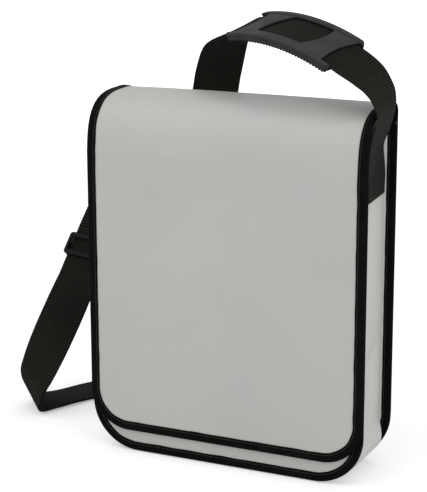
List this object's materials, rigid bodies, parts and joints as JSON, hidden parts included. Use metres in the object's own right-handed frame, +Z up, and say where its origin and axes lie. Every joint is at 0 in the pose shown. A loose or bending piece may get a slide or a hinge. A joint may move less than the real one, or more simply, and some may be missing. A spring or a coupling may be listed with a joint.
{
  "type": "flap-over mail shoulder bag",
  "caption": "Portrait flap-over shoulder bag for mail in coated tarpaulin, with bound seams, a wide webbing strap, a sliding shoulder pad and a tri-glide buckle.",
  "frame": {"origin": "centre of the flat underside of the bag, which stands on the floor", "axes": "+Z up, -Y the side with the flap, +X the side where the webbing is sewn flat"},
  "size_m": [0.4564, 0.2396, 0.4661],
  "materials": {
    "tarpaulin": "light warm grey coated fabric, semi-matte",
    "binding_tape": "black woven tape, matte",
    "webbing": "black ribbed nylon webbing",
    "loop_pile": "black loop pile",
    "hook_tape": "black hook tape",
    "board": "black stiff sheet",
    "moulded_plastic": "black, fine satin",
    "pad_shell": "dark grey moulded elastomer, matte",
    "pad_rubber": "dark grey rubber with small teeth"
  },
  "bodies": {
    "bag": {"anchor_tab": "webbing", "back_edge_binding_left": "binding_tape", "back_edge_binding_right": "binding_tape", "back_panel": "tarpaulin", "back_seam_binding": "binding_tape", "base_board": "board", "flap_top": "tarpaulin", "flap_top_binding_left": "binding_tape", "flap_top_binding_right": "binding_tape", "front_panel": "tarpaulin", "front_seam_binding": "binding_tape", "gusset": "tarpaulin", "gusset_hem_left": "binding_tape", "gusset_hem_right": "binding_tape", "loop_strip_left": "loop_pile", "loop_strip_right": "loop_pile", "mouth_binding": "binding_tape", "shoulder_webbing": "webbing", "webbing_return": "webbing"},
    "flap_shoulder": {"flap_shoulder": "tarpaulin", "flap_shoulder_binding_left": "binding_tape", "flap_shoulder_binding_right": "binding_tape"},
    "flap_front": {"flap_front": "tarpaulin", "flap_front_binding": "binding_tape", "hook_strip_left": "hook_tape", "hook_strip_right": "hook_tape"},
    "shoulder_pad": {"pad_shell": "pad_shell", "pad_grip": "pad_rubber"},
    "buckle": {"tri_glide": "moulded_plastic", "webbing_end_loop": "webbing"},
    "ring": {"side_ring": "moulded_plastic", "webbing_ring_loop": "webbing"}
  },
  "joints": [
    {"name": "flap_lift", "type": "hinge", "parent": "bag", "child": "flap_shoulder", "pos_m": [0, -0.02347, 0.37484], "axis": [-1, 0, 0], "range_deg": [0, 75], "stiffness_Nm_per_rad": 0.15},
    {"name": "flap_fold", "type": "hinge", "parent": "flap_shoulder", "child": "flap_front", "pos_m": [0, -0.0448, 0.3], "axis": [-1, 0, 0], "range_deg": [0, 90], "stiffness_Nm_per_rad": 0.05},
    {"name": "pad_slide", "type": "hinge", "parent": "bag", "child": "shoulder_pad", "pos_m": [0.04371, 0.09642, 0.24078], "axis": [0.3679, 0.8767, 0.3099], "range_deg": [-1, 2], "stiffness_Nm_per_rad": 0.5},
    {"name": "buckle_slide", "type": "slide", "parent": "bag", "child": "buckle", "axis": [-0.1003, -0.6018, -0.7923], "range_m": [-0.012, 0.012], "stiffness_N_per_m": 60},
    {"name": "ring_swing", "type": "hinge", "parent": "bag", "child": "ring", "pos_m": [-0.1468, 0.0115, 0.3155], "axis": [0, 1, 0], "range_deg": [0, 20]}
  ]
}
